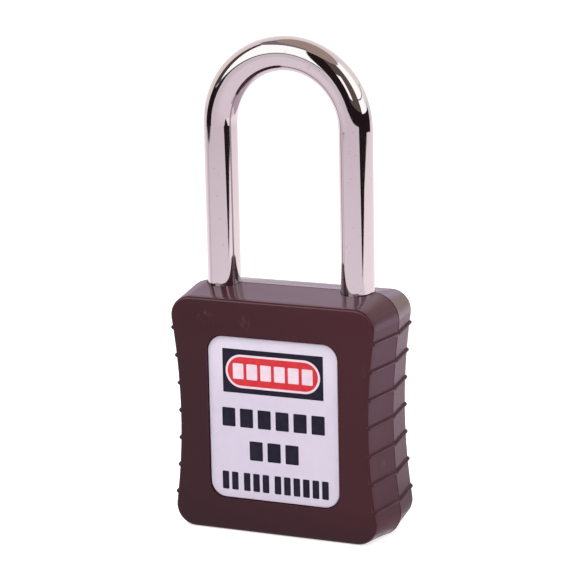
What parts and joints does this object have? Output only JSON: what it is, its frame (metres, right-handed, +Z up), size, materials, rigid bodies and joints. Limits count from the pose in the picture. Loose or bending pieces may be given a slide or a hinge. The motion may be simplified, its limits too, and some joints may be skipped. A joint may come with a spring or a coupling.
{
  "type": "lockout padlock",
  "caption": "Nylon-bodied lockout padlock with a tall round steel shackle, ribbed waisted sides, a recessed front label and a key lock in the base.",
  "frame": {"origin": "Middle of the flat base that the padlock stands on, on the seam plane between the two shell halves and midway between the shackle legs.", "axes": "+X towards the short (toe) leg of the shackle, +Y from the labelled front face to the rear face, +Z up along the shackle legs."},
  "size_m": [0.041, 0.0178, 0.0873],
  "materials": {
    "nylon_body": "dark red-brown moulded nylon, satin face, glossier top and sides",
    "label": "white vinyl label with a black panel, a red oval and dark bars",
    "shackle_chrome": "polished chrome-plated steel rod",
    "spring_steel": "bright spring steel",
    "lock_zinc": "die-cast zinc, satin",
    "plug_brass": "machined brass",
    "ball_steel": "hardened and ground steel"
  },
  "bodies": {
    "casing": {"front_shell": "nylon_body", "rear_shell": "nylon_body", "front_label": "label", "lock_housing": "lock_zinc", "chamber_cover": "lock_zinc", "ball_carrier": "lock_zinc", "shackle_spring": "spring_steel", "driver_pin_1": "ball_steel", "driver_pin_2": "ball_steel", "driver_pin_3": "ball_steel", "driver_pin_4": "ball_steel", "driver_pin_5": "ball_steel", "driver_pin_6": "ball_steel", "pin_spring_1": "spring_steel", "pin_spring_2": "spring_steel", "pin_spring_3": "spring_steel", "pin_spring_4": "spring_steel", "pin_spring_5": "spring_steel", "pin_spring_6": "spring_steel"},
    "shackle_body": {"shackle": "shackle_chrome", "heel_ring": "spring_steel"},
    "plug_body": {"plug": "plug_brass", "plug_clip": "spring_steel", "locking_cam": "lock_zinc", "key_pin_1": "plug_brass", "key_pin_2": "plug_brass", "key_pin_3": "plug_brass", "key_pin_4": "plug_brass", "key_pin_5": "plug_brass", "key_pin_6": "plug_brass"},
    "left_ball_body": {"ball_left": "ball_steel"},
    "right_ball_body": {"ball_right": "ball_steel"}
  },
  "joints": [
    {"name": "shackle_lift", "type": "slide", "parent": "casing", "child": "shackle_body", "axis": [0, 0, 1], "range_m": [0, 0.0125], "deforming": ["shackle_spring"]},
    {"name": "plug_turn", "type": "hinge", "parent": "casing", "child": "plug_body", "pos_m": [0, 0, 0], "axis": [0, 0, 1], "range_deg": [-90, 0]},
    {"name": "left_ball_slide", "type": "slide", "parent": "casing", "child": "left_ball_body", "axis": [-1, 0, 0], "range_m": [0, 0.0015]},
    {"name": "right_ball_slide", "type": "slide", "parent": "casing", "child": "right_ball_body", "axis": [1, 0, 0], "range_m": [0, 0.0015]}
  ],
  "couplings": [
    {"joint": "left_ball_slide", "follows": "plug_turn", "m_per_rad": -0.0009549},
    {"joint": "right_ball_slide", "follows": "plug_turn", "m_per_rad": -0.0009549}
  ]
}
